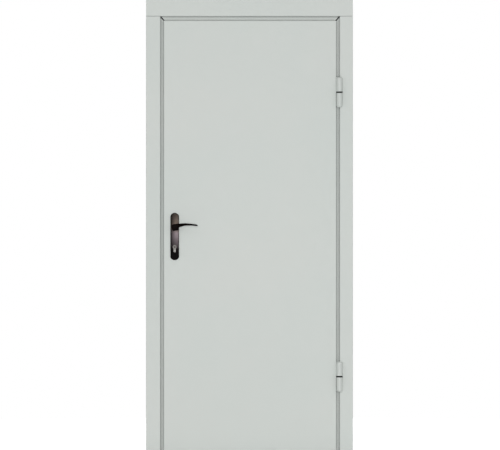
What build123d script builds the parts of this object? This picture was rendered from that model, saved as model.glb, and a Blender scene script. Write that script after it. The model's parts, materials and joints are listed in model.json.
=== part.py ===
from build123d import *
import os
from math import atan2, degrees, hypot

os.makedirs("parts", exist_ok=True)

# Steel casing: overall size, sheet, and the depths of its folded section behind the face
FRAME_WIDTH = 960
FRAME_HEIGHT = 2102
FRAME_DEPTH = 80
SHEET = 2
BEND = 2.5
LIP_DEPTH = 13
LEDGE_DEPTH = 14
HALF_WIDTH = FRAME_WIDTH / 2
FACE_Y = -FRAME_DEPTH / 2

# Face flanges, the band of ledge seen beside the leaf, and the lap's cover on that ledge
LOCK_FACE = 66
HINGE_FACE = 61
HEAD_FACE = 78.5
SIDE_BAND = 16.7
HEAD_BAND = 21
LAP_COVER = 16
REAR_INSET = 2
BUTT_GAP = 0.7
MITRE_GAP = 4
CUT_OVERRUN = 1

# Leaf: lap in front of the ledge, flush with the casing's face, and the body behind it
LAP_THICKNESS = 9
LEAF_THICKNESS = 60
SKIN = 1.5
LEAF_FOOT = 8
BODY_FOOT = 32
LOCK_GAP = 8.5
HINGE_GAP = 5
HEAD_GAP = 5

# Threshold between the jambs
TREAD_HEIGHT = 25

# Seals on the ledge, behind the lap
SEAL_HEIGHT = 4.5
SEAL_WIDTH = 10
SEAL_INSET = 2
SEAL_FOOT = 11

# Weld-on hinges
HINGE_AXIS_X = 417.3
HINGE_AXIS_DEPTH = -15
HINGE_HEIGHTS = {"upper": 1670, "lower": 351.5}
BARREL_RADIUS = 14
HINGE_LENGTH = 140
HINGE_OPENING = 5
BARREL_CHAMFER = 5
PIN_RADIUS = 7
PIN_FIT = 0.05
PIN_REACH = 55
WING = 4
BEARING_RADIUS = 12
BEARING_GAP = 0.2

# Lever furniture and lock, on one vertical line
LEVER_X = -347
LEVER_Z = 1044.4
CYLINDER_DROP = 92
PLATE_WIDTH = 40
PLATE_TOP = 1111
PLATE_FOOT = 891.5
PLATE_THICKNESS = 8
PLATE_BEVEL = 3.5
FOOT_SAGITTA = 13
FOOT_CORNER = 6
COLLAR_RADIUS = 14.5
COLLAR_THICKNESS = 7
COLLAR_CHAMFER = 1.5
NECK_RADIUS = 9
NECK_FIT = 0.06
BOSS_GAP = 0.5
BOSS_SIZE = (32, 30)
BOSS_CORNER = 7
BOSS_CENTRE = (3.5, -1)
BOSS_TILT = 10
BOSS_DEPTH = 29
BOSS_CHAMFER = 3
SPINDLE = 8
SPINDLE_INSERT = 30
PLUG_LENGTH = 20
KEYWAY = (2.6, 9, 12)
CYLINDER_RADIUS = 8.5
CYLINDER_TAIL = 10
CYLINDER_HEIGHT = 33
CYLINDER_PROUD = 2.5
PLUG_RADIUS = 6.5
LOCK_DEPTH = 33
FACEPLATE_WIDTH = 24
FACEPLATE_LENGTH = 250
FACEPLATE_THICKNESS = 3
FACEPLATE_Z = 1020
BOLT_THICKNESS = 12
BOLT_HEIGHT = 34
BOLT_LENGTH = 26
BOLT_PROUD = 2.5
LATCH_FLAT = 2
DEAD_BOLT_CHAMFER = 1
SPINDLE_WAY_RADIUS = 11
LATCH_Z = 1078
DEAD_BOLT_Z = 998
STRIKE_WIDTH = 30
STRIKE_THICKNESS = 3
STRIKE_WINDOW = 20
STRIKE_HOLE = 14
STRIKE_MARGIN = 2

# Grip sections: reach from the neck's axis, rise above it, distance before the boss's back,
# half height and half depth
GRIP_STATIONS = [
    (6, 6, 17, 9.4, 9),
    (20, 8.4, 20, 9.2, 8.8),
    (30, 11.4, 27, 7.2, 8.4),
    (43, 12.6, 34, 5.5, 8),
    (62, 12.5, 38, 4.4, 7.6),
    (80, 11.6, 39, 3.9, 7.2),
    (96, 9.9, 38, 3.5, 6.4),
    (103, 9.1, 37, 3, 5),
    (107, 8.6, 36, 1.8, 2.8),
]

# Wall anchors behind each jamb
ANCHOR_HEIGHTS = [225, 775, 1325, 1875]
ANCHOR_WIDTH = 40
ANCHOR_THICKNESS = 3
ANCHOR_LINE = 427
ANCHOR_FOOT = (20, 36)
ANCHOR_END = 72
ANCHOR_HOLE_DEPTH = 54
ANCHOR_HOLE_RADIUS = 5.5
ACCESS_HOLE_RADIUS = 8

# Angle brackets in the top corners
CLEAT_THICKNESS = 3
CLEAT_DROP = 76
CLEAT_START = 4


def casing_lines(outer, face, band):
    """Lines of the flange's edge, the leaf's edge and the reveal, inwards from the outer edge."""
    face_edge = outer - face
    leaf_edge = face_edge - band
    return face_edge, leaf_edge, leaf_edge - LAP_COVER


LOCK_EDGE, LOCK_LEAF, LOCK_REVEAL = casing_lines(HALF_WIDTH, LOCK_FACE, SIDE_BAND)
HINGE_EDGE, HINGE_LEAF, HINGE_REVEAL = casing_lines(HALF_WIDTH, HINGE_FACE, SIDE_BAND)
HEAD_EDGE, HEAD_LEAF, HEAD_REVEAL = casing_lines(FRAME_HEIGHT, HEAD_FACE, HEAD_BAND)

BODY_LEFT = -(LOCK_REVEAL - LOCK_GAP)
BODY_RIGHT = HINGE_REVEAL - HINGE_GAP
BODY_TOP = HEAD_REVEAL - HEAD_GAP
LOCK_SIDE = -1
HINGE_SIDE = 1


def facing(depth):
    """Plane parallel to the casing's face, this far behind it, looking out at the viewer."""
    return Plane.XZ.offset(-(FACE_Y + depth))


def across(x):
    """Plane square to the width, at this x, looking towards the hinge side."""
    return Plane.YZ.offset(x)


def panel(left, right, foot, top):
    """Rectangle between two sides and two levels, in a sketch that faces the viewer."""
    with Locations(((left + right) / 2, (foot + top) / 2)):
        Rectangle(right - left, top - foot)


def save(piece, name):
    piece.part.label = name
    export_step(piece.part, f"parts/{name}.step")


def casing_fold(outer, face_edge, reveal):
    """Visible line of the folded section, from the outer lip to the rear flange."""
    return [
        (outer, LIP_DEPTH),
        (outer, 0),
        (face_edge, 0),
        (face_edge, LEDGE_DEPTH),
        (reveal, LEDGE_DEPTH),
        (reveal, FRAME_DEPTH),
        (face_edge - REAR_INSET, FRAME_DEPTH),
    ]


def mitre_slots():
    """Centre, length and angle of the open mitre across the ledge in each top corner."""
    slots = []
    for side, face_edge, reveal in (
        (LOCK_SIDE, LOCK_EDGE, LOCK_REVEAL),
        (HINGE_SIDE, HINGE_EDGE, HINGE_REVEAL),
    ):
        run = side * (face_edge - reveal)
        rise = HEAD_EDGE - HEAD_REVEAL
        centre = (side * (face_edge + reveal) / 2, (HEAD_EDGE + HEAD_REVEAL) / 2)
        slots.append((centre, hypot(run, rise) - 2 * BEND, degrees(atan2(rise, run))))
    return slots


def jamb(side, face_edge, reveal):
    """Upright of the casing: folded sheet, butted under the head and mitred at the ledge."""
    fold = casing_fold(HALF_WIDTH, face_edge, reveal)
    with BuildPart() as upright:
        with BuildSketch(Plane.XY):
            with BuildLine():
                FilletPolyline(*[(side * u, FACE_Y + v) for u, v in fold], radius=BEND)
                offset(amount=SHEET, side=Side.LEFT if side < 0 else Side.RIGHT)
            make_face()
        extrude(amount=FRAME_HEIGHT)
        with BuildSketch(Plane.XZ):
            Polygon(
                (side * HALF_WIDTH, 0),
                (side * HALF_WIDTH, HEAD_EDGE - BUTT_GAP),
                (side * face_edge, HEAD_EDGE - BUTT_GAP),
                (side * face_edge, HEAD_EDGE),
                (side * reveal, HEAD_REVEAL),
                (side * reveal, 0),
                align=None,
            )
        extrude(amount=FRAME_DEPTH, both=True, mode=Mode.INTERSECT)
        for centre, length, angle in mitre_slots():
            with BuildSketch(facing(LEDGE_DEPTH + SHEET + CUT_OVERRUN)):
                with Locations(centre):
                    Rectangle(length, MITRE_GAP, rotation=angle)
            extrude(amount=SHEET + 2 * CUT_OVERRUN, mode=Mode.SUBTRACT)
        with BuildSketch(across(side * reveal)):
            with Locations(*[(FACE_Y + ANCHOR_HOLE_DEPTH, z) for z in ANCHOR_HEIGHTS]):
                Circle(ACCESS_HOLE_RADIUS)
        extrude(amount=SHEET + CUT_OVERRUN, both=True, mode=Mode.SUBTRACT)
        if side == LOCK_SIDE:
            with BuildSketch(across(-reveal)):
                with Locations((FACE_Y + LOCK_DEPTH, FACEPLATE_Z)):
                    SlotOverall(FACEPLATE_LENGTH - STRIKE_WINDOW, STRIKE_WINDOW, rotation=90)
            extrude(amount=SHEET + CUT_OVERRUN, both=True, mode=Mode.SUBTRACT)
    return upright


def head():
    """Top of the casing, over both jambs, with the jambs' mitres at its ends."""
    fold = casing_fold(FRAME_HEIGHT, HEAD_EDGE, HEAD_REVEAL)
    with BuildPart() as lintel:
        with BuildSketch(across(-HALF_WIDTH)):
            with BuildLine():
                FilletPolyline(*[(FACE_Y + v, u) for u, v in fold], radius=BEND)
                offset(amount=SHEET, side=Side.LEFT)
            make_face()
        extrude(amount=FRAME_WIDTH)
        with BuildSketch(Plane.XZ):
            Polygon(
                (-HALF_WIDTH, FRAME_HEIGHT),
                (-HALF_WIDTH, HEAD_EDGE),
                (-LOCK_EDGE, HEAD_EDGE),
                (-LOCK_REVEAL, HEAD_REVEAL),
                (HINGE_REVEAL, HEAD_REVEAL),
                (HINGE_EDGE, HEAD_EDGE),
                (HALF_WIDTH, HEAD_EDGE),
                (HALF_WIDTH, FRAME_HEIGHT),
                align=None,
            )
        extrude(amount=FRAME_DEPTH, both=True, mode=Mode.INTERSECT)
        for centre, length, angle in mitre_slots():
            with BuildSketch(facing(LEDGE_DEPTH + SHEET + CUT_OVERRUN)):
                with Locations(centre):
                    Rectangle(length, MITRE_GAP, rotation=angle)
            extrude(amount=SHEET + 2 * CUT_OVERRUN, mode=Mode.SUBTRACT)
    return lintel


def threshold():
    """Closed folded sill between the jambs; its front is the ledge for the leaf's lap."""
    with BuildPart() as sill:
        with BuildSketch(across(-LOCK_REVEAL)) as section:
            with Locations((FACE_Y + (LEDGE_DEPTH + FRAME_DEPTH) / 2, TREAD_HEIGHT / 2)):
                Rectangle(FRAME_DEPTH - LEDGE_DEPTH, TREAD_HEIGHT)
            fillet(section.vertices().group_by(Axis.Y)[-1], radius=BEND)
            offset(amount=-SHEET, mode=Mode.SUBTRACT)
        extrude(amount=LOCK_REVEAL + HINGE_REVEAL)
    return sill


def seal(left, right, foot, top):
    """Rubber strip seated on the ledge, rounded where the lap meets it."""
    with BuildPart() as strip:
        with BuildSketch(facing(LEDGE_DEPTH)):
            panel(left, right, foot, top)
        extrude(amount=SEAL_HEIGHT)
        length_axis = Axis.Z if top - foot > right - left else Axis.X
        crown = strip.faces().sort_by(Axis.Y)[0].edges().filter_by(length_axis)
        fillet(crown, radius=SEAL_HEIGHT / 2)
    return strip


def seal_ring():
    """Four strips on the ledge: two up the jambs, and one each at head and threshold."""
    lock_in = -(LOCK_REVEAL + SEAL_INSET)
    hinge_in = HINGE_REVEAL + SEAL_INSET
    head_in = HEAD_REVEAL + SEAL_INSET
    foot = SEAL_FOOT
    top = head_in + SEAL_WIDTH
    save(seal(lock_in - SEAL_WIDTH, lock_in, foot, top), "lock_side_seal")
    save(seal(hinge_in, hinge_in + SEAL_WIDTH, foot, top), "hinge_side_seal")
    save(seal(lock_in, hinge_in, head_in, top), "head_seal")
    save(seal(lock_in, hinge_in, foot, foot + SEAL_WIDTH), "threshold_seal")


def corner_cleats():
    """Angle brackets that tie the head's return to the outer lips of the jambs."""
    with BuildPart() as cleats:
        with BuildSketch(facing(LIP_DEPTH)):
            for side, face_edge in ((LOCK_SIDE, LOCK_EDGE), (HINGE_SIDE, HINGE_EDGE)):
                outer = side * (HALF_WIDTH - SHEET)
                inner = side * (face_edge + CLEAT_START)
                heel = side * (HALF_WIDTH - SHEET - CLEAT_THICKNESS)
                panel(min(outer, inner), max(outer, inner), HEAD_EDGE - CLEAT_THICKNESS, HEAD_EDGE)
                panel(min(outer, heel), max(outer, heel), HEAD_EDGE - CLEAT_DROP, HEAD_EDGE)
        extrude(amount=LIP_DEPTH - BEND)
    return cleats


def anchors(side, reveal):
    """Cranked straps behind the reveal, with a fixing hole beyond each one's web."""
    foot_start, foot_end = ANCHOR_FOOT
    strap = [
        (reveal + SHEET, foot_start),
        (reveal + SHEET, foot_end),
        (ANCHOR_LINE - ANCHOR_THICKNESS, foot_end),
        (ANCHOR_LINE - ANCHOR_THICKNESS, ANCHOR_END),
    ]
    with BuildPart() as straps:
        for height in ANCHOR_HEIGHTS:
            with BuildSketch(Plane.XY.offset(height - ANCHOR_WIDTH / 2)):
                with BuildLine():
                    Polyline(*[(side * u, FACE_Y + v) for u, v in strap])
                    offset(
                        amount=ANCHOR_THICKNESS,
                        kind=Kind.INTERSECTION,
                        side=Side.RIGHT if side > 0 else Side.LEFT,
                    )
                make_face()
            extrude(amount=ANCHOR_WIDTH)
        with BuildSketch(across(side * ANCHOR_LINE)):
            with Locations(*[(FACE_Y + ANCHOR_HOLE_DEPTH, z) for z in ANCHOR_HEIGHTS]):
                Circle(ANCHOR_HOLE_RADIUS)
        extrude(amount=ANCHOR_THICKNESS + CUT_OVERRUN, both=True, mode=Mode.SUBTRACT)
    return straps


def strike_plate():
    """Keep behind the lock jamb's window, with a hole for each bolt."""
    with BuildPart() as strike:
        with BuildSketch(across(-(LOCK_REVEAL + SHEET))):
            with Locations((FACE_Y + LOCK_DEPTH, FACEPLATE_Z)):
                Rectangle(STRIKE_WIDTH, FACEPLATE_LENGTH)
            with Locations(*[(FACE_Y + LOCK_DEPTH, z) for z in (LATCH_Z, DEAD_BOLT_Z)]):
                RectangleRounded(
                    STRIKE_HOLE,
                    BOLT_HEIGHT + 2 * STRIKE_MARGIN,
                    STRIKE_MARGIN,
                    mode=Mode.SUBTRACT,
                )
        extrude(amount=-STRIKE_THICKNESS)
    return strike


def hinge_frame_half(height):
    """Lower half of a weld-on hinge, on the casing's return, bored for the pin."""
    foot = height - HINGE_LENGTH / 2
    length = (HINGE_LENGTH - HINGE_OPENING) / 2
    axis_y = FACE_Y + HINGE_AXIS_DEPTH
    wing_end = FACE_Y + LEDGE_DEPTH - BEND
    with BuildPart() as half:
        with BuildSketch(Plane.XY.offset(foot)):
            with Locations((HINGE_AXIS_X, axis_y)):
                Circle(BARREL_RADIUS)
        extrude(amount=length)
        chamfer(half.edges().sort_by(Axis.Z)[0], length=BARREL_CHAMFER)
        with BuildSketch(Plane.XY.offset(foot)):
            with Locations((HINGE_EDGE - WING / 2, (axis_y + wing_end) / 2)):
                Rectangle(WING, wing_end - axis_y)
        extrude(amount=length)
        with BuildSketch(Plane.XY.offset(foot + length)):
            with Locations((HINGE_AXIS_X, axis_y)):
                Circle(PIN_RADIUS)
        extrude(amount=-PIN_REACH, mode=Mode.SUBTRACT)
    return half


def hinge_leaf_half(height):
    """Upper half of a weld-on hinge, on the lap's edge, with a blind bore over the pin."""
    foot = height + HINGE_OPENING / 2
    length = (HINGE_LENGTH - HINGE_OPENING) / 2
    axis_y = FACE_Y + HINGE_AXIS_DEPTH
    wing_end = FACE_Y + LAP_THICKNESS
    with BuildPart() as half:
        with BuildSketch(Plane.XY.offset(foot)):
            with Locations((HINGE_AXIS_X, axis_y)):
                Circle(BARREL_RADIUS)
        extrude(amount=length)
        chamfer(half.edges().sort_by(Axis.Z)[-1], length=BARREL_CHAMFER)
        with BuildSketch(Plane.XY.offset(foot)):
            with Locations((HINGE_LEAF + WING / 2, (axis_y + wing_end) / 2)):
                Rectangle(WING, wing_end - axis_y)
        extrude(amount=length)
        with BuildSketch(Plane.XY.offset(foot)):
            with Locations((HINGE_AXIS_X, axis_y)):
                Circle(PIN_RADIUS + PIN_FIT)
        extrude(amount=PIN_REACH, mode=Mode.SUBTRACT)
    return half


def hinge_pin(height):
    """Pin pressed into the lower half, tapered at the end that the leaf lifts off."""
    with BuildPart() as pin:
        with BuildSketch(Plane.XY.offset(height - HINGE_OPENING / 2 - PIN_REACH)):
            with Locations((HINGE_AXIS_X, FACE_Y + HINGE_AXIS_DEPTH)):
                Circle(PIN_RADIUS)
        extrude(amount=2 * PIN_REACH)
        chamfer(pin.edges().sort_by(Axis.Z)[-1], length=PIN_RADIUS / 3)
    return pin


def hinge_bearing(height):
    """Thrust ring in the opening between the two halves."""
    with BuildPart() as ring:
        with BuildSketch(Plane.XY.offset(height - HINGE_OPENING / 2)):
            with Locations((HINGE_AXIS_X, FACE_Y + HINGE_AXIS_DEPTH)):
                Circle(BEARING_RADIUS)
                Circle(PIN_RADIUS + PIN_FIT, mode=Mode.SUBTRACT)
        extrude(amount=HINGE_OPENING - BEARING_GAP)
    return ring


def euro_profile(clearance=0):
    """Round head and narrow tail of the lock cylinder, in a sketch that faces the viewer."""
    centre = LEVER_Z - CYLINDER_DROP
    tail = CYLINDER_TAIL / 2
    drop = CYLINDER_HEIGHT - CYLINDER_RADIUS - tail
    with Locations((LEVER_X, centre)):
        Circle(CYLINDER_RADIUS + clearance)
    with Locations((LEVER_X, centre - drop / 2)):
        Rectangle(CYLINDER_TAIL + 2 * clearance, drop)
    with Locations((LEVER_X, centre - drop)):
        Circle(tail + clearance)


def spindle_hole():
    """Clear round way for the square spindle through the leaf."""
    with Locations((LEVER_X, LEVER_Z)):
        Circle(SPINDLE_WAY_RADIUS)


def leaf_front_skin():
    """Outer sheet of the leaf, folded round the lap and turned in to the body."""
    with BuildPart() as skin:
        with BuildSketch(facing(LAP_THICKNESS)):
            panel(-LOCK_LEAF, HINGE_LEAF, LEAF_FOOT, HEAD_LEAF)
        extrude(amount=LAP_THICKNESS)
        fillet(skin.faces().sort_by(Axis.Y)[0].edges(), radius=SKIN)
        with BuildSketch(facing(LAP_THICKNESS - SKIN)):
            panel(-LOCK_LEAF + SKIN, HINGE_LEAF - SKIN, LEAF_FOOT + SKIN, HEAD_LEAF - SKIN)
        extrude(amount=LAP_THICKNESS - 2 * SKIN, mode=Mode.SUBTRACT)
        with BuildSketch(facing(LAP_THICKNESS)):
            panel(BODY_LEFT, BODY_RIGHT, BODY_FOOT, BODY_TOP)
        extrude(amount=SKIN, mode=Mode.SUBTRACT)
        with BuildSketch(facing(0)):
            spindle_hole()
            euro_profile()
        extrude(amount=-SKIN, mode=Mode.SUBTRACT)
    return skin


def leaf_rear_skin():
    """Inner sheet of the leaf: a tray whose walls run forward to the outer sheet."""
    with BuildPart() as skin:
        with BuildSketch(facing(LEAF_THICKNESS)):
            panel(BODY_LEFT, BODY_RIGHT, BODY_FOOT, BODY_TOP)
        extrude(amount=LEAF_THICKNESS - SKIN)
        fillet(skin.faces().sort_by(Axis.Y)[-1].edges(), radius=SKIN)
        with BuildSketch(facing(LEAF_THICKNESS - SKIN)):
            panel(BODY_LEFT + SKIN, BODY_RIGHT - SKIN, BODY_FOOT + SKIN, BODY_TOP - SKIN)
        extrude(amount=LEAF_THICKNESS, mode=Mode.SUBTRACT)
        with BuildSketch(facing(LEAF_THICKNESS)):
            spindle_hole()
            euro_profile()
        extrude(amount=SKIN, mode=Mode.SUBTRACT)
        with BuildSketch(across(BODY_LEFT)):
            with Locations((FACE_Y + LOCK_DEPTH, FACEPLATE_Z)):
                SlotOverall(FACEPLATE_LENGTH, FACEPLATE_WIDTH, rotation=90)
        extrude(amount=SKIN, mode=Mode.SUBTRACT)
    return skin


def leaf_core():
    """Honeycomb filling between the sheets, bored and pocketed for the lock."""
    with BuildPart() as core:
        with BuildSketch(facing(LEAF_THICKNESS - SKIN)):
            panel(BODY_LEFT + SKIN, BODY_RIGHT - SKIN, BODY_FOOT + SKIN, BODY_TOP - SKIN)
        extrude(amount=LEAF_THICKNESS - 2 * SKIN)
        with BuildSketch(facing(LEAF_THICKNESS - SKIN)):
            spindle_hole()
            euro_profile()
        extrude(amount=LEAF_THICKNESS, mode=Mode.SUBTRACT)
        with BuildSketch(across(BODY_LEFT)):
            with Locations((FACE_Y + LOCK_DEPTH, FACEPLATE_Z)):
                SlotOverall(FACEPLATE_LENGTH, FACEPLATE_WIDTH, rotation=90)
        extrude(amount=FACEPLATE_THICKNESS, mode=Mode.SUBTRACT)
        with BuildSketch(across(BODY_LEFT)):
            with Locations(*[(FACE_Y + LOCK_DEPTH, z) for z in (LATCH_Z, DEAD_BOLT_Z)]):
                Rectangle(BOLT_THICKNESS, BOLT_HEIGHT)
        extrude(amount=BOLT_LENGTH - BOLT_PROUD, mode=Mode.SUBTRACT)
    return core


def lock_faceplate():
    """Round-ended plate flush with the body's lock edge, open for both bolts."""
    with BuildPart() as faceplate:
        with BuildSketch(across(BODY_LEFT)):
            with Locations((FACE_Y + LOCK_DEPTH, FACEPLATE_Z)):
                SlotOverall(FACEPLATE_LENGTH, FACEPLATE_WIDTH, rotation=90)
            with Locations(*[(FACE_Y + LOCK_DEPTH, z) for z in (LATCH_Z, DEAD_BOLT_Z)]):
                Rectangle(BOLT_THICKNESS, BOLT_HEIGHT, mode=Mode.SUBTRACT)
        extrude(amount=FACEPLATE_THICKNESS)
    return faceplate


def bolt(height, bevelled):
    """Bolt head drawn back to just proud of the faceplate; a latch has a slanted nose."""
    with BuildPart() as block:
        with BuildSketch(across(BODY_LEFT - BOLT_PROUD)):
            with Locations((FACE_Y + LOCK_DEPTH, height)):
                Rectangle(BOLT_THICKNESS, BOLT_HEIGHT)
        extrude(amount=BOLT_LENGTH)
        nose = block.faces().sort_by(Axis.X)[0].edges().filter_by(Axis.Z).sort_by(Axis.Y)
        if bevelled:
            chamfer(nose[0], length=BOLT_PROUD, length2=BOLT_THICKNESS - LATCH_FLAT)
        else:
            chamfer(nose, length=DEAD_BOLT_CHAMFER)
    return block


def lock_cylinder():
    """Profile cylinder through the leaf and both plates, bored for a plug at each end."""
    front = PLATE_THICKNESS + CYLINDER_PROUD
    back = LEAF_THICKNESS + PLATE_THICKNESS + CYLINDER_PROUD
    with BuildPart() as body:
        with BuildSketch(facing(back)):
            euro_profile()
        extrude(amount=back + front)
        for depth, direction in ((-front, -1), (back, 1)):
            with BuildSketch(facing(depth)):
                with Locations((LEVER_X, LEVER_Z - CYLINDER_DROP)):
                    Circle(PLUG_RADIUS)
            extrude(amount=direction * PLUG_LENGTH, mode=Mode.SUBTRACT)
    return body


def cylinder_plug(outer_end, direction):
    """Keyed plug with an upright keyway, its face level with the cylinder's end."""
    keyway_width, keyway_height, keyway_depth = KEYWAY
    with BuildPart() as plug:
        with BuildSketch(facing(outer_end)):
            with Locations((LEVER_X, LEVER_Z - CYLINDER_DROP)):
                Circle(PLUG_RADIUS)
        extrude(amount=direction * PLUG_LENGTH)
        with BuildSketch(facing(outer_end)):
            with Locations((LEVER_X, LEVER_Z - CYLINDER_DROP)):
                Rectangle(keyway_width, keyway_height)
        extrude(amount=direction * keyway_depth, mode=Mode.SUBTRACT)
    return plug


def backplate(back, direction):
    """Long plate with a round top and a flatter foot, bevelled all round its front."""
    half = PLATE_WIDTH / 2
    shoulder = PLATE_TOP - half
    foot_shoulder = PLATE_FOOT + FOOT_SAGITTA
    with BuildPart() as plate:
        with BuildSketch(facing(back)) as outline:
            with BuildLine():
                Line((LEVER_X - half, foot_shoulder), (LEVER_X - half, shoulder))
                ThreePointArc(
                    (LEVER_X - half, shoulder), (LEVER_X, PLATE_TOP), (LEVER_X + half, shoulder)
                )
                Line((LEVER_X + half, shoulder), (LEVER_X + half, foot_shoulder))
                ThreePointArc(
                    (LEVER_X + half, foot_shoulder),
                    (LEVER_X, PLATE_FOOT),
                    (LEVER_X - half, foot_shoulder),
                )
            make_face()
            fillet(outline.vertices().group_by(Axis.Y)[0], radius=FOOT_CORNER)
        extrude(amount=direction * PLATE_THICKNESS)
        front_face = plate.faces().sort_by(Axis.Y)[0 if direction > 0 else -1]
        chamfer(front_face.edges(), length=PLATE_BEVEL)
        with BuildSketch(facing(back)):
            with Locations((LEVER_X, LEVER_Z)):
                Circle(NECK_RADIUS + NECK_FIT)
            euro_profile()
        extrude(amount=direction * PLATE_THICKNESS, mode=Mode.SUBTRACT)
    return plate


def collar(back, direction):
    """Turned ring on the plate, the bearing for the lever's neck."""
    with BuildPart() as ring:
        with BuildSketch(facing(back)):
            with Locations((LEVER_X, LEVER_Z)):
                Circle(COLLAR_RADIUS)
        extrude(amount=direction * COLLAR_THICKNESS)
        front_face = ring.faces().sort_by(Axis.Y)[0 if direction > 0 else -1]
        chamfer(front_face.edges(), length=COLLAR_CHAMFER)
        with BuildSketch(facing(back)):
            with Locations((LEVER_X, LEVER_Z)):
                Circle(NECK_RADIUS + NECK_FIT)
        extrude(amount=direction * COLLAR_THICKNESS, mode=Mode.SUBTRACT)
    return ring


def lever(back, direction):
    """Lever handle: round neck, rounded square boss and a slim grip that swings out and dips."""
    neck_length = PLATE_THICKNESS + COLLAR_THICKNESS + BOSS_GAP
    boss_back = back - direction * neck_length
    boss_x, boss_z = BOSS_CENTRE
    with BuildPart() as handle:
        with BuildSketch(facing(boss_back)):
            with Locations((LEVER_X + boss_x, LEVER_Z + boss_z)):
                RectangleRounded(*BOSS_SIZE, BOSS_CORNER, rotation=BOSS_TILT)
        extrude(amount=direction * BOSS_DEPTH)
        front_face = handle.faces().sort_by(Axis.Y)[0 if direction > 0 else -1]
        chamfer(front_face.edges(), length=BOSS_CHAMFER)
        with BuildSketch(facing(back)):
            with Locations((LEVER_X, LEVER_Z)):
                Circle(NECK_RADIUS)
        extrude(amount=direction * neck_length)
        for reach, rise, stand_off, half_height, half_depth in GRIP_STATIONS:
            grip_y = FACE_Y + boss_back - direction * stand_off
            origin = (LEVER_X + reach, grip_y, LEVER_Z + rise)
            with BuildSketch(Plane(origin=origin, x_dir=(0, 0, 1), z_dir=(1, 0, 0))):
                Ellipse(half_height, half_depth)
        loft(ruled=True)
        with BuildSketch(facing(back)):
            with Locations((LEVER_X, LEVER_Z)):
                Rectangle(SPINDLE, SPINDLE)
        extrude(amount=direction * SPINDLE_INSERT, mode=Mode.SUBTRACT)
    return handle


def lever_spindle():
    """Square bar through the leaf that couples both levers."""
    with BuildPart() as bar:
        with BuildSketch(facing(LEAF_THICKNESS + SPINDLE_INSERT)):
            with Locations((LEVER_X, LEVER_Z)):
                Rectangle(SPINDLE, SPINDLE)
        extrude(amount=LEAF_THICKNESS + 2 * SPINDLE_INSERT)
    return bar


# Casing
save(head(), "frame_head")
save(jamb(LOCK_SIDE, LOCK_EDGE, LOCK_REVEAL), "frame_lock_jamb")
save(jamb(HINGE_SIDE, HINGE_EDGE, HINGE_REVEAL), "frame_hinge_jamb")
save(threshold(), "threshold")
save(corner_cleats(), "corner_cleats")
save(anchors(LOCK_SIDE, LOCK_REVEAL), "lock_side_anchors")
save(anchors(HINGE_SIDE, HINGE_REVEAL), "hinge_side_anchors")
save(strike_plate(), "strike_plate")
seal_ring()

# Hinges
for level, height in HINGE_HEIGHTS.items():
    save(hinge_frame_half(height), f"{level}_hinge_frame_half")
    save(hinge_leaf_half(height), f"{level}_hinge_leaf_half")
    save(hinge_pin(height), f"{level}_hinge_pin")
    save(hinge_bearing(height), f"{level}_hinge_bearing")

# Leaf
save(leaf_front_skin(), "leaf_front_skin")
save(leaf_rear_skin(), "leaf_rear_skin")
save(leaf_core(), "leaf_core")

# Lock
save(lock_faceplate(), "lock_faceplate")
save(bolt(LATCH_Z, bevelled=True), "latch_bolt")
save(bolt(DEAD_BOLT_Z, bevelled=False), "dead_bolt")
save(lock_cylinder(), "lock_cylinder")
PLUG_FRONT = -(PLATE_THICKNESS + CYLINDER_PROUD)
PLUG_BACK = LEAF_THICKNESS + PLATE_THICKNESS + CYLINDER_PROUD
save(cylinder_plug(PLUG_FRONT, -1), "outside_cylinder_plug")
save(cylinder_plug(PLUG_BACK, 1), "inside_cylinder_plug")

# Lever furniture, outside towards the viewer and inside behind the leaf
for place, face, direction in (("outside", 0, 1), ("inside", LEAF_THICKNESS, -1)):
    save(backplate(face, direction), f"{place}_backplate")
    save(collar(face - direction * PLATE_THICKNESS, direction), f"{place}_lever_collar")
    save(lever(face, direction), f"{place}_lever")
save(lever_spindle(), "lever_spindle")
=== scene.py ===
import json
import math

import bmesh
import bpy
from mathutils import Matrix, Vector


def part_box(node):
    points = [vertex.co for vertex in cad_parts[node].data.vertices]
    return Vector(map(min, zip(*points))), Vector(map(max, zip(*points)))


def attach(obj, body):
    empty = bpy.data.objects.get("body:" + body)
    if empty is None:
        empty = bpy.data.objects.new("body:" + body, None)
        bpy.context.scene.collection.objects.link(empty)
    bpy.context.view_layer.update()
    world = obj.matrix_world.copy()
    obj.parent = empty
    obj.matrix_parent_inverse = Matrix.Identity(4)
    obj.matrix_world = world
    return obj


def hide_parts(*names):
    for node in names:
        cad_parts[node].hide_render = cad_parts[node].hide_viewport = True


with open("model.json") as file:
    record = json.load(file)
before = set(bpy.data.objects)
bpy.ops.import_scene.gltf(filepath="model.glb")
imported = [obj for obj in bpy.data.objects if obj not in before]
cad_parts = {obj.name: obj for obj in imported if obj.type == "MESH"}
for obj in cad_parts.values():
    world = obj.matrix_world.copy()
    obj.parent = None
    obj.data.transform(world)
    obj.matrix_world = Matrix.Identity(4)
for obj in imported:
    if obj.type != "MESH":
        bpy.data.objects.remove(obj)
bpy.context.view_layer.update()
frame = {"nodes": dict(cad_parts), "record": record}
nodes = frame["nodes"]
print("door frame loaded:", len(nodes), "nodes")

lockX = -0.347  # upright line of the plates, the levers and the cylinder
touching = 0.00001  # points closer than this are the same point


# node helpers
def addNode(tree, kind, **settings):
    node = tree.nodes.new(kind)
    for name, value in settings.items():
        setattr(node, name, value)
    return node


def feed(tree, source, node, socket):
    tree.links.new(source, node.inputs[socket])


def setInputs(node, values):
    for name, value in values.items():
        node.inputs[name].default_value = value


def objectCoords(tree, shift=(0, 0, 0), stretch=(1, 1, 1)):
    coords = addNode(tree, "ShaderNodeTexCoord")
    mapping = addNode(tree, "ShaderNodeMapping")
    setInputs(mapping, {"Location": shift, "Scale": stretch})
    feed(tree, coords.outputs["Object"], mapping, "Vector")
    return mapping.outputs["Vector"]


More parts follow.
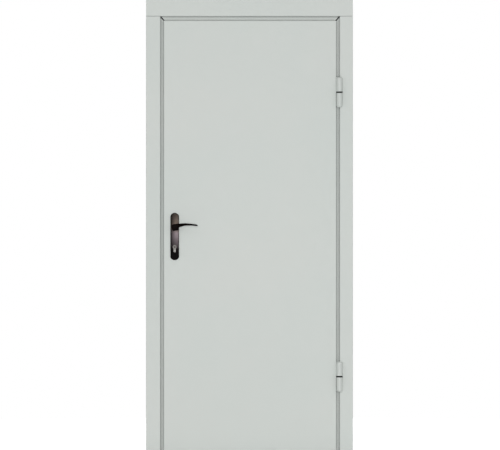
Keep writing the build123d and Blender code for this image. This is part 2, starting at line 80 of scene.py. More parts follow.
def splitAxes(tree, vector):
    axes = addNode(tree, "ShaderNodeSeparateXYZ")
    feed(tree, vector, axes, 0)
    return axes.outputs


def noise(tree, vector, scale, detail, roughness):
    texture = addNode(tree, "ShaderNodeTexNoise")
    setInputs(texture, {"Scale": scale, "Detail": detail, "Roughness": roughness})
    feed(tree, vector, texture, "Vector")
    return texture.outputs["Fac"]


def spread(tree, value, low, high, outLow=0.0, outHigh=1.0):
    # low to high becomes outLow to outHigh, and nothing passes them
    ramp = addNode(tree, "ShaderNodeMapRange", clamp=True)
    setInputs(ramp, {"From Min": low, "From Max": high, "To Min": outLow, "To Max": outHigh})
    feed(tree, value, ramp, "Value")
    return ramp.outputs["Result"]


def patches(tree, vector, values):
    return spread(tree, noise(tree, vector, *values["noise"]), *values["cut"])


def multiply(tree, first, second):
    node = addNode(tree, "ShaderNodeMath", operation="MULTIPLY", use_clamp=True)
    feed(tree, first, node, 0)
    if isinstance(second, float):
        node.inputs[1].default_value = second
    else:
        feed(tree, second, node, 1)
    return node.outputs["Value"]


def blendColours(tree, amount, first, second):
    mix = addNode(tree, "ShaderNodeMix", data_type="RGBA", clamp_factor=True)
    feed(tree, amount, mix, 0)
    for socket, colour in ((6, first), (7, second)):
        if isinstance(colour, tuple):
            mix.inputs[socket].default_value = colour
        else:
            feed(tree, colour, mix, socket)
    return mix.outputs[2]


def roundedNormal(tree, reach):
    rounded = addNode(tree, "ShaderNodeBevel", samples=4)
    rounded.inputs["Radius"].default_value = reach
    return rounded.outputs["Normal"]


def addBump(tree, height, strength, distance, normal=None):
    bump = addNode(tree, "ShaderNodeBump")
    setInputs(bump, {"Strength": strength, "Distance": distance})
    feed(tree, height, bump, "Height")
    if normal is not None:
        feed(tree, normal, bump, "Normal")
    return bump.outputs["Normal"]


def wearEdges(tree, base, colour, edge, share):
    # corners are where the rounded-off normal leaves the true one
    reach, low, high = edge
    geometry = addNode(tree, "ShaderNodeNewGeometry")
    dot = addNode(tree, "ShaderNodeVectorMath", operation="DOT_PRODUCT")
    feed(tree, roundedNormal(tree, reach), dot, 0)
    feed(tree, geometry.outputs["Normal"], dot, 1)
    worn = multiply(tree, spread(tree, dot.outputs["Value"], high, low), share)
    return blendColours(tree, worn, base, colour)


cornerOpen = (0.30, 0.95)  # how open a place is where the painted shade is darkest and where it ends


def paintCornerShade(tree, base, values, where=None):
    # painted shade: a darker colour in folds and joints, where ambient occlusion finds them closed
    # in
    corner = addNode(tree, "ShaderNodeAmbientOcclusion", samples=8)
    corner.inputs["Distance"].default_value = values["cornerReach"]
    shade = spread(tree, corner.outputs["AO"], *cornerOpen, values["cornerShade"], 0.0)
    if where is not None:
        shade = multiply(tree, shade, where)
    return blendColours(tree, shade, base, values["cornerShadeColour"])


def startMaterial(name):
    material = bpy.data.materials.new(name)
    material.use_nodes = True
    tree = material.node_tree
    return material, tree, tree.nodes["Principled BSDF"]


def finishShader(tree, shader, base, rough, normal, constants):
    feed(tree, base, shader, "Base Color")
    feed(tree, rough, shader, "Roughness")
    feed(tree, normal, shader, "Normal")
    setInputs(shader, constants)


def srgb(red, green, blue):
    def toLinear(value):
        value = value / 255
        return value / 12.92 if value <= 0.04045 else ((value + 0.055) / 1.055) ** 2.4
    return (toLinear(red), toLinear(green), toLinear(blue), 1.0)


# finishes
# noise: scale, detail and roughness
# cut: the noise's low and high end, and what they become where that isn't 0 and 1
# edge: reach of the wear, and the normals' agreement where it is full and where it ends
# bump: strength and height
powderCoat = {
    "light": srgb(202, 206, 202),
    "deep": srgb(199, 205, 201),
    "rubbed": srgb(186, 190, 187),
    "clouds": {"noise": (1.7, 4.0, 0.55), "cut": (0.35, 0.65)},
    "edge": (0.0012, 0.90, 0.995),
    "chips": {"noise": (90.0, 4.0, 0.65), "cut": (0.42, 0.62, 0.15, 0.75)},
    # colour of the painted shade in folds and joints
    "cornerShadeColour": srgb(82, 86, 83),
    "cornerReach": 0.013,
    "cornerShade": 0.0,
    "sunkBehind": (-0.0399, -0.0385),
    "dust": {"noise": (68.0, 5.0, 0.7), "cut": (0.3, 0.75)},
    "roughness": (0.40, 0.50),
    "peel": (420.0, 2.0, 0.4),
    "peelBump": (0.35, 0.00012),
    "rounding": 0.0008,
    "constants": {"Specular IOR Level": 0.32},
}
# the casing alone gets painted shade in its folds
casingCoat = {**powderCoat, "cornerShade": 0.95}
hingeCoat = {**powderCoat, "peel": (600.0, 2.0, 0.4)}


def coatedSteel(name, values):
    # the painted shade in the folds only lies behind the casing's face
    material, tree, shader = startMaterial(name)
    place = objectCoords(tree)
    clouds = patches(tree, place, values["clouds"])
    base = blendColours(tree, clouds, values["light"], values["deep"])
    chips = patches(tree, place, values["chips"])
    base = wearEdges(tree, base, values["rubbed"], values["edge"], chips)
    sunk = spread(tree, splitAxes(tree, place)["Y"], *values["sunkBehind"])
    # painted shade in the folds behind the face
    base = paintCornerShade(tree, base, values, sunk)
    rough = spread(tree, patches(tree, place, values["dust"]), 0.0, 1.0, *values["roughness"])
    peel = noise(tree, place, *values["peel"])
    normal = addBump(tree, peel, *values["peelBump"], roundedNormal(tree, values["rounding"]))
    finishShader(tree, shader, base, rough, normal, values["constants"])
    return material


brushedSteel = {
    "light": srgb(172, 172, 170),
    "deep": srgb(138, 138, 137),
    "grain": (3.0, 900.0, 900.0),
    "strokes": (1.0, 4.0, 0.6),
    "strokeEnds": (0.3, 0.7),
    "stains": {"noise": (9.0, 4.0, 0.55), "cut": (0.35, 0.7)},
    "stainShare": 0.35,
    # colour of the painted shade in corners and joints
    "cornerShadeColour": srgb(58, 58, 58),
    "cornerReach": 0.004,
    "cornerShade": 0.6,
    "edge": (0.0008, 0.88, 0.99),
    "wearShare": 0.6,
    "roughness": (0.38, 0.54),
    "scratchBump": (0.5, 0.00008),
    "constants": {"Metallic": 1.0},
}
pinSteel = {
    **brushedSteel,
    "light": srgb(158, 157, 154),
    "deep": srgb(118, 117, 114),
    "grain": (700.0, 700.0, 20.0),
}


def brushedMetal(name, values):
    material, tree, shader = startMaterial(name)
    strokes = noise(tree, objectCoords(tree, stretch=values["grain"]), *values["strokes"])
    streaks = spread(tree, strokes, *values["strokeEnds"])
    base = blendColours(tree, streaks, values["light"], values["deep"])
    stains = patches(tree, objectCoords(tree), values["stains"])
    base = blendColours(tree, multiply(tree, stains, values["stainShare"]), base, values["deep"])
    # painted shade in corners and joints
    base = paintCornerShade(tree, base, values)
    base = wearEdges(tree, base, values["light"], values["edge"], values["wearShare"])
    rough = spread(tree, strokes, *values["strokeEnds"], *values["roughness"])
    normal = addBump(tree, strokes, *values["scratchBump"])
    finishShader(tree, shader, base, rough, normal, values["constants"])
    return material


zincCoat = {
    "bright": srgb(158, 161, 164),
    "dull": srgb(138, 142, 146),
    "flakeScale": 150.0,
    "bloom": {"noise": (30.0, 5.0, 0.7), "cut": (0.4, 0.7)},
    "bloomShare": 0.4,
    # colour of the painted shade in corners and joints
    "cornerShadeColour": srgb(44, 45, 46),
    "cornerReach": 0.006,
    "cornerShade": 0.95,
    "edge": (0.0008, 0.88, 0.99),
    "wearShare": 0.7,
    "roughness": (0.44, 0.60),
    "flakeBump": (0.15, 0.0003),
    "constants": {"Metallic": 1.0},
}


def galvanisedSteel(name, values):
    material, tree, shader = startMaterial(name)
    place = objectCoords(tree)
    flakes = addNode(tree, "ShaderNodeTexVoronoi")
    setInputs(flakes, {"Scale": values["flakeScale"]})
    feed(tree, place, flakes, "Vector")
    flakeColour = addNode(tree, "ShaderNodeSeparateColor")
    feed(tree, flakes.outputs["Color"], flakeColour, 0)
    tone = flakeColour.outputs[0]
    base = blendColours(tree, tone, values["bright"], values["dull"])
    bloom = multiply(tree, patches(tree, place, values["bloom"]), values["bloomShare"])
    base = blendColours(tree, bloom, base, values["dull"])
    # painted shade in corners and joints
    base = paintCornerShade(tree, base, values)
    base = wearEdges(tree, base, values["bright"], values["edge"], values["wearShare"])
    rough = spread(tree, tone, 0.0, 1.0, *values["roughness"])
    normal = addBump(tree, flakes.outputs["Distance"], *values["flakeBump"])
    finishShader(tree, shader, base, rough, normal, values["constants"])
    return material


sealValues = {
    "dark": srgb(28, 28, 29),
    "dusty": srgb(52, 52, 54),
    "talc": {"noise": (26.0, 5.0, 0.65), "cut": (0.4, 0.75)},
    "edge": (0.0006, 0.85, 0.99),
    "wearShare": 0.5,
    "roughness": (0.55, 0.75),
    "grain": (900.0, 2.0, 0.55),
    "grainBump": (0.4, 0.0001),
    "constants": {"Specular IOR Level": 0.3},
}


def sealRubber(name, values):
    material, tree, shader = startMaterial(name)
    place = objectCoords(tree)
    talc = patches(tree, place, values["talc"])
    base = blendColours(tree, talc, values["dark"], values["dusty"])
    base = wearEdges(tree, base, values["dusty"], values["edge"], values["wearShare"])
    rough = spread(tree, talc, 0.0, 1.0, *values["roughness"])
    normal = addBump(tree, noise(tree, place, *values["grain"]), *values["grainBump"])
    finishShader(tree, shader, base, rough, normal, values["constants"])
    return material


fillingValues = {
    "paper": srgb(178, 150, 112),
    "fibre": srgb(140, 112, 78),
    "cells": {"Scale": 70.0, "Randomness": 0.25},
    "cellWall": (0.02, 0.10),
    "fibres": {"noise": (160.0, 6.0, 0.7), "cut": (0.35, 0.65)},
    "roughness": (0.75, 0.95),
    "cellBump": (0.5, 0.0008),
}


def honeycombBoard(name, values):
    material, tree, shader = startMaterial(name)
    place = objectCoords(tree)
    cells = addNode(tree, "ShaderNodeTexVoronoi", feature="DISTANCE_TO_EDGE")
    setInputs(cells, values["cells"])
    feed(tree, place, cells, "Vector")
    walls = spread(tree, cells.outputs["Distance"], *values["cellWall"])
    fibres = patches(tree, place, values["fibres"])
    base = blendColours(tree, fibres, values["paper"], values["fibre"])
    base = blendColours(tree, walls, values["fibre"], base)
    rough = spread(tree, fibres, 0.0, 1.0, *values["roughness"])
    normal = addBump(tree, walls, *values["cellBump"])
    finishShader(tree, shader, base, rough, normal, {})
    return material


plateValues = {
    "black": srgb(8, 7, 7),
    "bronze": srgb(105, 94, 86),
    "mauve": srgb(104, 95, 98),
    "middleZ": 1.0025,
    "mottle": (75.0, 5.0, 0.65),
    "mottleShift": 0.016,
    # heights and sides below are measured from the plate's middle
    "reflectionFoot": (-0.055, 0.020),
    "reflectionHead": (0.106, 0.036, 0.25, 1.0),
    "darkSide": (-0.0165, 0.0060, 0.10, 1.0),
    "cloud": (0.25, 0.75, 0.80, 1.0),
    "mauveBelow": (0.050, 0.020),
    "edge": (0.0010, 0.86, 0.99),
    "wearShare": 0.30,
    "mottleEnds": (0.3, 0.7),
    "roughness": (0.44, 0.58),
    "grain": (520.0, 3.0, 0.55),
    "grainBump": (0.30, 0.00010),
    "rounding": 0.0010,
    "constants": {"Metallic": 0.85, "Specular IOR Level": 0.06},
}


def patinaAndReflectionPlate(name, values):
    # blackened, with a painted reflection that lightens it to bronze and mauve from the middle
    # towards the hand's side; darker towards the foot, the head and the left side, broken by random
    # clouds
    material, tree, shader = startMaterial(name)
    place = objectCoords(tree)
    axes = splitAxes(tree, objectCoords(tree, shift=(-lockX, 0, -values["middleZ"])))
    mottle = noise(tree, place, *values["mottle"])
    sway = addNode(tree, "ShaderNodeMath", operation="MULTIPLY_ADD")
    feed(tree, mottle, sway, 0)
    sway.inputs[1].default_value = values["mottleShift"]
    feed(tree, axes["Z"], sway, 2)
    height = sway.outputs["Value"]
    # painted reflection: lighter from the middle up, black towards the foot
    foot = spread(tree, height, *values["reflectionFoot"])
    head = spread(tree, height, *values["reflectionHead"])
    # painted reflection: darker towards the left side
    side = spread(tree, axes["X"], *values["darkSide"])
    rubbed = multiply(tree, multiply(tree, foot, head), side)
    rubbed = multiply(tree, rubbed, spread(tree, mottle, *values["cloud"]))
    mauve = spread(tree, height, *values["mauveBelow"])
    metal = blendColours(tree, mauve, values["bronze"], values["mauve"])
    base = blendColours(tree, rubbed, values["black"], metal)
    # edges wear to bronze only towards the hand's side: wear, and also a painted highlight on those
    # edges
    share = multiply(tree, side, values["wearShare"])
    base = wearEdges(tree, base, values["bronze"], values["edge"], share)
    rough = spread(tree, mottle, *values["mottleEnds"], *values["roughness"])
    grain = noise(tree, place, *values["grain"])
    normal = addBump(tree, grain, *values["grainBump"], roundedNormal(tree, values["rounding"]))
    finishShader(tree, shader, base, rough, normal, values["constants"])
    return material


leverValues = {
    "black": srgb(7, 3, 3),
    "worn": srgb(36, 30, 27),
    "mottle": (70.0, 5.0, 0.65),
    "handled": {"noise": (22.0, 3.0, 0.55), "cut": (0.55, 0.85, 0.0, 0.35)},
    "edge": (0.0012, 0.86, 0.99),
    "wearEnds": (0.45, 0.65),
    "mottleEnds": (0.3, 0.7),
    "roughness": (0.42, 0.56),
    "grain": (600.0, 3.0, 0.55),
    "grainBump": (0.30, 0.00008),
    "constants": {"Specular IOR Level": 0.02},
}


def blackLever(name, values):
    material, tree, shader = startMaterial(name)
    place = objectCoords(tree)
    mottle = noise(tree, place, *values["mottle"])
    handled = patches(tree, place, values["handled"])
    base = blendColours(tree, handled, values["black"], values["worn"])
    share = spread(tree, mottle, *values["wearEnds"])
    base = wearEdges(tree, base, values["worn"], values["edge"], share)
    rough = spread(tree, mottle, *values["mottleEnds"], *values["roughness"])
    normal = addBump(tree, noise(tree, place, *values["grain"]), *values["grainBump"])
    finishShader(tree, shader, base, rough, normal, values["constants"])
    return material


cylinderValues = {
    "bright": srgb(114, 112, 110),
    "dull": srgb(78, 76, 73),
    "plugZ": 0.9524,
    "turning": {"Scale": 900.0, "Distortion": 0.6, "Detail": 2.0},
    "tarnish": {"noise": (180.0, 5.0, 0.65), "cut": (0.35, 0.7)},
    "edge": (0.0006, 0.88, 0.99),
    "wearShare": 0.6,
    "roughness": (0.42, 0.56),
    "turningBump": (0.12, 0.00005),
    "constants": {"Metallic": 1.0},
}
# painted shade: the plugs get a darker copy of the cylinder's metal
shadedPlugValues = {**cylinderValues, "bright": srgb(76, 73, 70), "dull": srgb(46, 44, 42)}


def turnedMetal(name, values):
    # fine lathe rings round the plug's own centre line
    material, tree, shader = startMaterial(name)
    rings = addNode(tree, "ShaderNodeTexWave", wave_type="RINGS", rings_direction="Y")
    setInputs(rings, values["turning"])
    feed(tree, objectCoords(tree, shift=(-lockX, 0, -values["plugZ"])), rings, "Vector")
    tarnish = patches(tree, objectCoords(tree), values["tarnish"])
    base = blendColours(tree, tarnish, values["bright"], values["dull"])
    base = wearEdges(tree, base, values["bright"], values["edge"], values["wearShare"])
    rough = spread(tree, tarnish, 0.0, 1.0, *values["roughness"])
    normal = addBump(tree, rings.outputs["Fac"], *values["turningBump"])
    finishShader(tree, shader, base, rough, normal, values["constants"])
    return material


bearingValues = {
    "dark": srgb(7, 7, 7),
    "pale": srgb(17, 16, 16),
    "specks": {"noise": (260.0, 5.0, 0.7), "cut": (0.4, 0.7)},
    "edge": (0.0006, 0.86, 0.99),
    "wearShare": 0.5,
    "roughness": (0.45, 0.62),
    "speckBump": (0.2, 0.00008),
    "constants": {"Specular IOR Level": 0.10},
}


def bearingPlastic(name, values):
    material, tree, shader = startMaterial(name)
    specks = patches(tree, objectCoords(tree), values["specks"])
    base = blendColours(tree, specks, values["dark"], values["pale"])
    base = wearEdges(tree, base, values["pale"], values["edge"], values["wearShare"])
    rough = spread(tree, specks, 0.0, 1.0, *values["roughness"])
    normal = addBump(tree, specks, *values["speckBump"])
    finishShader(tree, shader, base, rough, normal, values["constants"])
    return material


finishes = {
    "coated_steel": coatedSteel("coated casing", casingCoat),
    "leaf_coat": coatedSteel("coated leaf", powderCoat),
    "hinge_steel": coatedSteel("coated hinge steel", hingeCoat),
    "stainless_steel": brushedMetal("stainless sill", brushedSteel),
    "galvanised_steel": galvanisedSteel("galvanised steel", zincCoat),
    "pin_steel": brushedMetal("bright pin steel", pinSteel),
    "bearing_plastic": bearingPlastic("bearing plastic", bearingValues),
    "seal_rubber": sealRubber("seal rubber", sealValues),
    "honeycomb_board": honeycombBoard("honeycomb board", fillingValues),
    "cylinder_brass": turnedMetal("nickelled brass", cylinderValues),
    "shaded_plug_brass": turnedMetal("shaded plug", shadedPlugValues),
    "plate_aluminium": patinaAndReflectionPlate("blackened plate with painted reflection", plateValues),
    "lever_aluminium": blackLever("blackened lever", leverValues),
}
slotOf = {part["node"]: part["material_slot"] for part in frame["record"]["subparts"]}
ownFinish = {
    "leaf_front_skin": "leaf_coat",
    "leaf_rear_skin": "leaf_coat",
    "outside_cylinder_plug": "shaded_plug_brass",
    "inside_cylinder_plug": "shaded_plug_brass",
}
for name, node in nodes.items():
    node.data.materials.clear()
    node.data.materials.append(finishes[ownFinish.get(name, slotOf[name])])
print("finishes laid on", len(slotOf), "nodes")


# piece helpers
def keepShape(bm, name, body, finish, smooth=True):
    bmesh.ops.remove_doubles(bm, verts=bm.verts, dist=touching)
    bmesh.ops.recalc_face_normals(bm, faces=bm.faces)
    for face in bm.faces:
        face.smooth = smooth
    mesh = bpy.data.meshes.new(name)
    bm.to_mesh(mesh)
    bm.free()
    mesh.materials.append(finishes[finish])
    piece = bpy.data.objects.new(name, mesh)
    bpy.context.scene.collection.objects.link(piece)
    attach(piece, body)
    return piece


def turnTo(direction):
    # local Z points along the direction
    return Vector(direction).to_track_quat("Z", "Y").to_matrix().to_4x4()


def pairsRound(ring):
    # each corner with the next one round
    return zip(ring, ring[1:] + ring[:1])


def addRing(bm, place, sides, wide, high=None, cap=False):
    # one round or oval ring, laid in the place's own XY plane
    oval = Matrix.Diagonal((wide, wide if high is None else high, 1.0, 1.0))
    ring = []
    for step in range(sides):
        turn = math.tau * step / sides
        ring.append(bm.verts.new(place @ oval @ Vector((-math.sin(turn), math.cos(turn), 0))))
    for pair in pairsRound(ring):
        bm.edges.new(pair)
    if cap:
        bm.faces.new(ring)
    return ring


def joinRings(bm, rings):
    for first, second in zip(rings, rings[1:]):
        edges = [bm.edges.get(pair) for ring in (first, second) for pair in pairsRound(ring)]
        bmesh.ops.bridge_loops(bm, edges=edges)


def roundEdges(bm, edges, reach, steps):
    bmesh.ops.bevel(bm, geom=edges, offset=reach, segments=steps, profile=0.5,
                    affect="EDGES", material=-1)


def taperEnds(share, start, rise):
    # grows from its start at both ends to 1 towards the middle
    return min(1.0, start + rise * share, start + rise * (1 - share))


# levers
furniture = {
    "axisZ": 1.0444,
    "outside": {"leaf": -0.040, "out": -1.0},
    "inside": {"leaf": 0.020, "out": 1.0},
    "plate": 0.008,
    "collar": 0.0075,
    "neckRadius": 0.0088,
    "neckLength": 0.020,
    "neckSides": 40,
    "bossSize": (0.032, 0.029, 0.030),
    "bossShift": (0.0035, -0.001),
    "bossTilt": 10.0,
    "bossCorner": (0.0066, 6),  # reach and steps
    "bossRim": (0.0030, 4),
    "gripSides": 32,
    "grip": (
        # reach, rise, distance off the boss's back, half height, half depth
        (0.006, 0.0060, 0.0170, 0.0096, 0.0094),
        (0.013, 0.0068, 0.0182, 0.0096, 0.0093),
        (0.020, 0.0076, 0.0202, 0.0091, 0.0091),
        (0.026, 0.0090, 0.0242, 0.0078, 0.0089),
        (0.032, 0.0099, 0.0284, 0.0070, 0.0087),
        (0.038, 0.0110, 0.0318, 0.0064, 0.0085),
        (0.045, 0.0122, 0.0345, 0.0059, 0.0083),
        (0.054, 0.0126, 0.0367, 0.0051, 0.0081),
        (0.064, 0.0123, 0.0383, 0.0046, 0.0079),
        (0.074, 0.0119, 0.0389, 0.0043, 0.0073),
        (0.084, 0.0111, 0.0390, 0.0040, 0.0071),
        (0.093, 0.0100, 0.0384, 0.0037, 0.0068),
        (0.099, 0.0092, 0.0377, 0.0035, 0.0060),
        (0.103, 0.0088, 0.0371, 0.0031, 0.0051),
        (0.106, 0.0088, 0.0364, 0.0025, 0.0038),
        (0.1074, 0.0086, 0.0361, 0.0013, 0.0020),
    ),
}


def depthSpan(edge):
    return abs(edge.verts[0].co.y - edge.verts[1].co.y)


def shapeBoss(bm, values, bossBack, out):
    # a block with round corners and a softened rim, tilted with the grip
    # it comes first, while the mesh holds nothing else
    depth = values["bossSize"][1]
    bmesh.ops.create_cube(bm, size=1.0)
    bmesh.ops.scale(bm, vec=values["bossSize"], verts=bm.verts)
    posts = [edge for edge in bm.edges if depthSpan(edge) > depth / 2]
    roundEdges(bm, posts, *values["bossCorner"])
    rims = [edge for edge in bm.edges if depthSpan(edge) < touching]
    roundEdges(bm, rims, *values["bossRim"])
    shiftX, shiftZ = values["bossShift"]
    centre = (lockX + shiftX, bossBack + out * depth / 2, values["axisZ"] + shiftZ)
    tilt = Matrix.Rotation(math.radians(-values["bossTilt"]), 4, "Y")
    bmesh.ops.transform(bm, matrix=Matrix.Translation(centre) @ tilt, verts=bm.verts)


def shapeNeck(bm, values, plateFront, out):
    # a round bar from the plate into the boss
    rings = []
    for y in (plateFront, plateFront + out * values["neckLength"]):
        place = Matrix.Translation((lockX, y, values["axisZ"])) @ turnTo((0, 1, 0))
        rings.append(addRing(bm, place, values["neckSides"], values["neckRadius"], cap=True))
    joinRings(bm, rings)


def shapeGrip(bm, values, bossBack, out):
    # oval rings from the boss to the tip
    rings = []
    last = len(values["grip"]) - 1
    turn = turnTo((1, 0, 0)) @ Matrix.Rotation(math.radians(90), 4, "Z")
    for number, (reach, rise, away, high, deep) in enumerate(values["grip"]):
        at = (lockX + reach, bossBack + out * away, values["axisZ"] + rise)
        place = Matrix.Translation(at) @ turn
        rings.append(addRing(bm, place, values["gripSides"], high, deep, cap=number in (0, last)))
    joinRings(bm, rings)


def makeLever(side, values):
    out = values[side]["out"]
    plateFront = values[side]["leaf"] + out * values["plate"]
    bossBack = plateFront + out * values["collar"]
    bm = bmesh.new()
    shapeBoss(bm, values, bossBack, out)
    shapeNeck(bm, values, plateFront, out)
    shapeGrip(bm, values, bossBack, out)
    name = side + "_lever"
    piece = keepShape(bm, name + "Form", "levers", "lever_aluminium")
    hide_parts(name)


for side in ("outside", "inside"):
    makeLever(side, furniture)
print("levers shaped")

# screws
screwForm = {
    "head": 0.0046,
    # share of the head's radius, height above the plate, sides
    "rings": ((0.50, -0.0030, 36), (1.00, -0.0006, 36), (1.00, 0.0003, 36), (0.93, 0.0006, 36),
              (0.60, 0.0007, 36), (0.54, 0.0003, 6), (0.48, -0.0018, 6)),
}
screws = {
    # ends are the distances from the plate's foot and head
    "insidePlateScrew": {"ends": (0.017, 0.015), "facing": (0, 1, 0), "size": 1.0,
                         "body": "leaf", "finish": "plate_aluminium"},
    "faceplateScrew": {"ends": (0.011, 0.011), "facing": (-1, 0, 0), "size": 0.9,
                       "body": "leaf", "finish": "pin_steel"},
    "cylinderScrew": {"facing": (-1, 0, 0), "size": 0.8, "body": "leaf", "finish": "pin_steel"},
    "strikeScrew": {"ends": (0.020, 0.020), "facing": (1, 0, 0), "size": 0.9,
                    "body": "casing", "finish": "pin_steel"},
}
lockDepth = -0.007


def makeScrew(name, at, values):
    # countersunk head with a six-sided recess, its face level with the plate
    size = values["size"]
    stand = Matrix.Translation(at) @ turnTo(values["facing"])
    bm = bmesh.new()
    rings = []
    last = len(screwForm["rings"]) - 1
    for number, (share, height, sides) in enumerate(screwForm["rings"]):
        place = stand @ Matrix.Translation((0, 0, height * size))
        radius = screwForm["head"] * share * size
        rings.append(addRing(bm, place, sides, radius, cap=number in (0, last)))
    joinRings(bm, rings)
    keepShape(bm, name, values["body"], values["finish"], smooth=False)


def makeScrewPair(name, x, y, footZ, headZ):
    values = screws[name]
    foot, head = values["ends"]
    for number, z in enumerate((footZ + foot, headZ - head), start=1):
        makeScrew(name + str(number), (x, y, z), values)


plateLow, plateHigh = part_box("inside_backplate")
faceLow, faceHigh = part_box("lock_faceplate")
strikeLow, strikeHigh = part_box("strike_plate")
makeScrewPair("insidePlateScrew", lockX, plateHigh[1], plateLow[2], plateHigh[2])
makeScrewPair("faceplateScrew", faceLow[0], lockDepth, faceLow[2], faceHigh[2])
makeScrew("cylinderScrew", (faceLow[0], lockDepth, cylinderValues["plugZ"]), screws["cylinderScrew"])
makeScrewPair("strikeScrew", strikeHigh[0], lockDepth, strikeLow[2], strikeHigh[2])
print("screws set")

# hinge welds
weldForm = {
    "radius": 0.0018,
    "ripples": 16,
    "swell": 0.22,
    "taper": (0.15, 5.0),  # start and rise
    "steps": 64,
    "sides": 12,
    "short": 0.006,
    "frame": {"line": (0.4192, -0.0408), "body": "casing"},
    "leaf": {"line": (0.4020, -0.0402), "body": "leaf"},
}


def makeWeld(level, half, values):
    # rings that swell and shrink along the wing of one hinge half
    low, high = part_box(level + "_hinge_" + half + "_half")
    x, y = values[half]["line"]
    foot = low[2] + values["short"]
    length = high[2] - low[2] - 2 * values["short"]
    bm = bmesh.new()
    rings = []
    for step in range(values["steps"] + 1):
        share = step / values["steps"]
        ripple = 1 + values["swell"] * (0.5 - abs((share * values["ripples"]) % 1 - 0.5))
        radius = values["radius"] * taperEnds(share, *values["taper"]) * ripple
        place = Matrix.Translation((x, y, foot + length * share))
        rings.append(addRing(bm, place, values["sides"], radius, cap=step in (0, values["steps"])))
    joinRings(bm, rings)
    keepShape(bm, level + half.capitalize() + "Weld", values[half]["body"], "hinge_steel")


for level in ("upper", "lower"):
    for half in ("frame", "leaf"):
        makeWeld(level, half, weldForm)
print("hinge welds laid")

# bearing rings
washerForm = {
    "axis": (0.4173, -0.055),
    "inner": 0.0071,
    "barrel": 0.01405,
    "lip": 0.0143,
    "lap": 0.0011,
    "rim": 0.0001,
    "sides": 72,
}


def makeWasher(level, values):
    # black ring that carries the upper hinge half, with a thin lip over the ends of both halves
    node = level + "_hinge_bearing"
    low, high = (corner[2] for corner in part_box(node))
    lipLow, lipHigh = low - values["lap"], high + values["lap"]
    inner, barrel, lip, rim = (values[key] for key in ("inner", "barrel", "lip", "rim"))
    section = (
        (inner, low), (barrel, low), (barrel, lipLow), (lip - rim, lipLow), (lip, lipLow + rim),
        (lip, lipHigh - rim), (lip - rim, lipHigh), (barrel, lipHigh), (barrel, high), (inner, high),
    )
    bm = bmesh.new()
    rings = []
    for radius, z in section:
        rings.append(addRing(bm, Matrix.Translation((*values["axis"], z)), values["sides"], radius))
    joinRings(bm, rings + rings[:1])
    piece = keepShape(bm, node + "Ring", "casing", "bearing_plastic", smooth=False)
    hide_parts(node)


for level in ("upper", "lower"):
    makeWasher(level, washerForm)
print("hinge washers turned")

# seals
sealForm = {
    "base": 0.0016,
    "bulb": 0.0019,
    "bulbSides": 28,
    "baseRim": (0.0005, 2),  # reach and steps
    "softRim": 0.0003,
    "softSteps": 2,
    "softAngle": 40.0,
}


def softenCreases(piece, values):
    rim = piece.modifiers.new("soft rim", "BEVEL")
    rim.width = values["softRim"]
    rim.segments = values["softSteps"]
    rim.limit_method = "ANGLE"
    rim.angle_limit = math.radians(values["softAngle"])


def makeSeal(name, values):
    # flat base strip on the ledge with a round bulb in front of it
    low, high = (Vector(corner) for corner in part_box(name))
    size = high - low
    middle = (low + high) / 2
    bm = bmesh.new()
    bmesh.ops.create_cube(bm, size=1.0)
    bmesh.ops.scale(bm, vec=(size.x, values["base"], size.z), verts=bm.verts)
    back = (middle.x, high.y - values["base"] / 2, middle.z)
    bmesh.ops.translate(bm, vec=back, verts=bm.verts)
    roundEdges(bm, list(bm.edges), *values["baseRim"])
    along = Vector((0, 0, size.z)) if size.z > size.x else Vector((size.x, 0, 0))
    front = Vector((middle.x, low.y + values["bulb"], middle.z))
    ends = []
    for share in (-0.5, 0.5):
        place = Matrix.Translation(front + along * share) @ turnTo(along)
        ends.append(addRing(bm, place, values["bulbSides"], values["bulb"], cap=True))
    joinRings(bm, ends)
    piece = keepShape(bm, name + "Bulb", "casing", "seal_rubber")
    softenCreases(piece, values)
    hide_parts(name)


for name in ("lock_side_seal", "hinge_side_seal", "head_seal", "threshold_seal"):
    makeSeal(name, sealForm)
print("seals laid")

# corner joints: dark strips of painted shade in the open mitres
cornerForm = {
    "lock": ((-0.414, 2.0235), (-0.3813, 1.9865)),
    "hinge": ((0.419, 2.0235), (0.3863, 1.9865)),
    "ledge": -0.0260,
    "halfWidth": 0.0028,
    "halfDepth": 0.0011,
    "steps": 12,
    "sides": 16,
    "trim": (0.02, 0.94),  # part of the line that is filled
    "taper": (0.4, 6.0),  # start and rise
}


def makeMitreShade(side, values):
    # a dark strip in the open mitre of the ledge, painted shade where the gap's shadow falls
    start, end = (Vector((x, values["ledge"], z)) for x, z in values[side])
    along = (end - start).normalized()
    back = Vector((0, 1, 0))
    turn = Matrix((along.cross(back), back, along)).transposed().to_4x4()
    first, last = values["trim"]
    bm = bmesh.new()
    rings = []
    for step in range(values["steps"] + 1):
        share = step / values["steps"]
        place = Matrix.Translation(start.lerp(end, first + (last - first) * share)) @ turn
        width = values["halfWidth"] * taperEnds(share, *values["taper"])
        rings.append(addRing(bm, place, values["sides"], width, values["halfDepth"],
                             cap=step in (0, values["steps"])))
    joinRings(bm, rings)
    keepShape(bm, side + "MitreShade", "casing", "seal_rubber")


for side in ("lock", "hinge"):
    makeMitreShade(side, cornerForm)
print("corner joints filled")

# studio
white = (1, 1, 1, 1)
studio = {
    "cameraAway": 20.0,
    "casingFace": -0.040,
    "aim": (0.0024, 1.0545),
    "pictureWidth": 2.3204,
    "filmWidth": 36.0,
    "clip": (0.1, 200.0),
    "sky": 0.40,
    "floorSize": 7.0,
    "floorSides": 96,
    "floorTone": srgb(246, 246, 246),
    "floorGlow": 0.55,
}


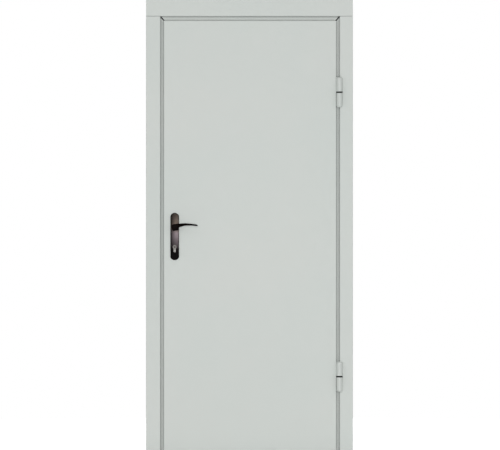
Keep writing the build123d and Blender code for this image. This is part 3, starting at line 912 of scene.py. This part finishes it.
def placeCamera(values):
    # the picture's width is measured on the casing's face
    lens = bpy.data.cameras.new("photo lens")
    lens.sensor_width = values["filmWidth"]
    reach = values["cameraAway"] + values["casingFace"]
    lens.lens = values["filmWidth"] * reach / values["pictureWidth"]
    lens.clip_start, lens.clip_end = values["clip"]
    eye = bpy.data.objects.new("photo camera", lens)
    bpy.context.scene.collection.objects.link(eye)
    eye.location = (values["aim"][0], -values["cameraAway"], values["aim"][1])
    eye.rotation_euler = (math.radians(90), 0, 0)
    bpy.context.scene.camera = eye


def raysSeen(tree):
    # 1 where the camera, a mirror or glass looks, 0 for the light on the object
    path = addNode(tree, "ShaderNodeLightPath")
    seen = path.outputs["Is Camera Ray"]
    for other in ("Is Glossy Ray", "Is Transmission Ray"):
        either = addNode(tree, "ShaderNodeMath", operation="MAXIMUM")
        feed(tree, seen, either, 0)
        feed(tree, path.outputs[other], either, 1)
        seen = either.outputs["Value"]
    return seen


def lightWorld(values):
    world = bpy.data.worlds.new("white room")
    bpy.context.scene.world = world
    world.use_nodes = True
    tree = world.node_tree
    plain = tree.nodes["Background"]
    setInputs(plain, {"Color": white, "Strength": values["sky"]})
    shown = addNode(tree, "ShaderNodeBackground")
    setInputs(shown, {"Color": white, "Strength": 1.0})
    mix = addNode(tree, "ShaderNodeMixShader")
    feed(tree, raysSeen(tree), mix, 0)
    feed(tree, plain.outputs[0], mix, 1)
    feed(tree, shown.outputs[0], mix, 2)
    feed(tree, mix.outputs[0], tree.nodes["World Output"], "Surface")


def layFloor(values):
    bm = bmesh.new()
    addRing(bm, Matrix.Identity(4), values["floorSides"], values["floorSize"] / 2, cap=True)
    mesh = bpy.data.meshes.new("studio floor")
    bm.to_mesh(mesh)
    bm.free()
    floor = bpy.data.objects.new("studio floor", mesh)
    bpy.context.scene.collection.objects.link(floor)
    material, tree, shader = startMaterial("studio floor")
    tree.nodes.remove(shader)
    matt = addNode(tree, "ShaderNodeBsdfDiffuse")
    setInputs(matt, {"Color": values["floorTone"]})
    glow = addNode(tree, "ShaderNodeEmission")
    setInputs(glow, {"Color": white})
    feed(tree, multiply(tree, raysSeen(tree), values["floorGlow"]), glow, "Strength")
    both = addNode(tree, "ShaderNodeAddShader")
    feed(tree, matt.outputs[0], both, 0)
    feed(tree, glow.outputs[0], both, 1)
    feed(tree, both.outputs[0], tree.nodes["Material Output"], "Surface")
    mesh.materials.append(material)


lamps = {
    "front window": {"at": (0.0, -12.0, 1.3), "size": (3.0, 3.0), "watts": 602.0},
    "left window": {"at": (-5.0, -5.5, 3.2), "size": (3.0, 3.0), "watts": 26.0},
    "right window": {"at": (5.0, -5.5, 3.2), "size": (3.0, 3.0), "watts": 26.0},
    "back window": {"at": (1.5, 7.0, 2.6), "size": (3.5, 3.0), "watts": 300.0},
}
lampTarget = Vector((0, 0, 1.05))


def hangLamp(name, values):
    light = bpy.data.lights.new(name, "AREA")
    light.shape = "RECTANGLE"
    light.size, light.size_y = values["size"]
    light.energy = values["watts"]
    lamp = bpy.data.objects.new(name, light)
    bpy.context.scene.collection.objects.link(lamp)
    lamp.location = values["at"]
    aim = lampTarget - Vector(values["at"])
    lamp.rotation_euler = aim.to_track_quat("-Z", "Y").to_euler()
    lamp.visible_camera = False


placeCamera(studio)
lightWorld(studio)
layFloor(studio)
for name, values in lamps.items():
    hangLamp(name, values)
bpy.context.scene.view_settings.view_transform = "Standard"
print("studio ready")
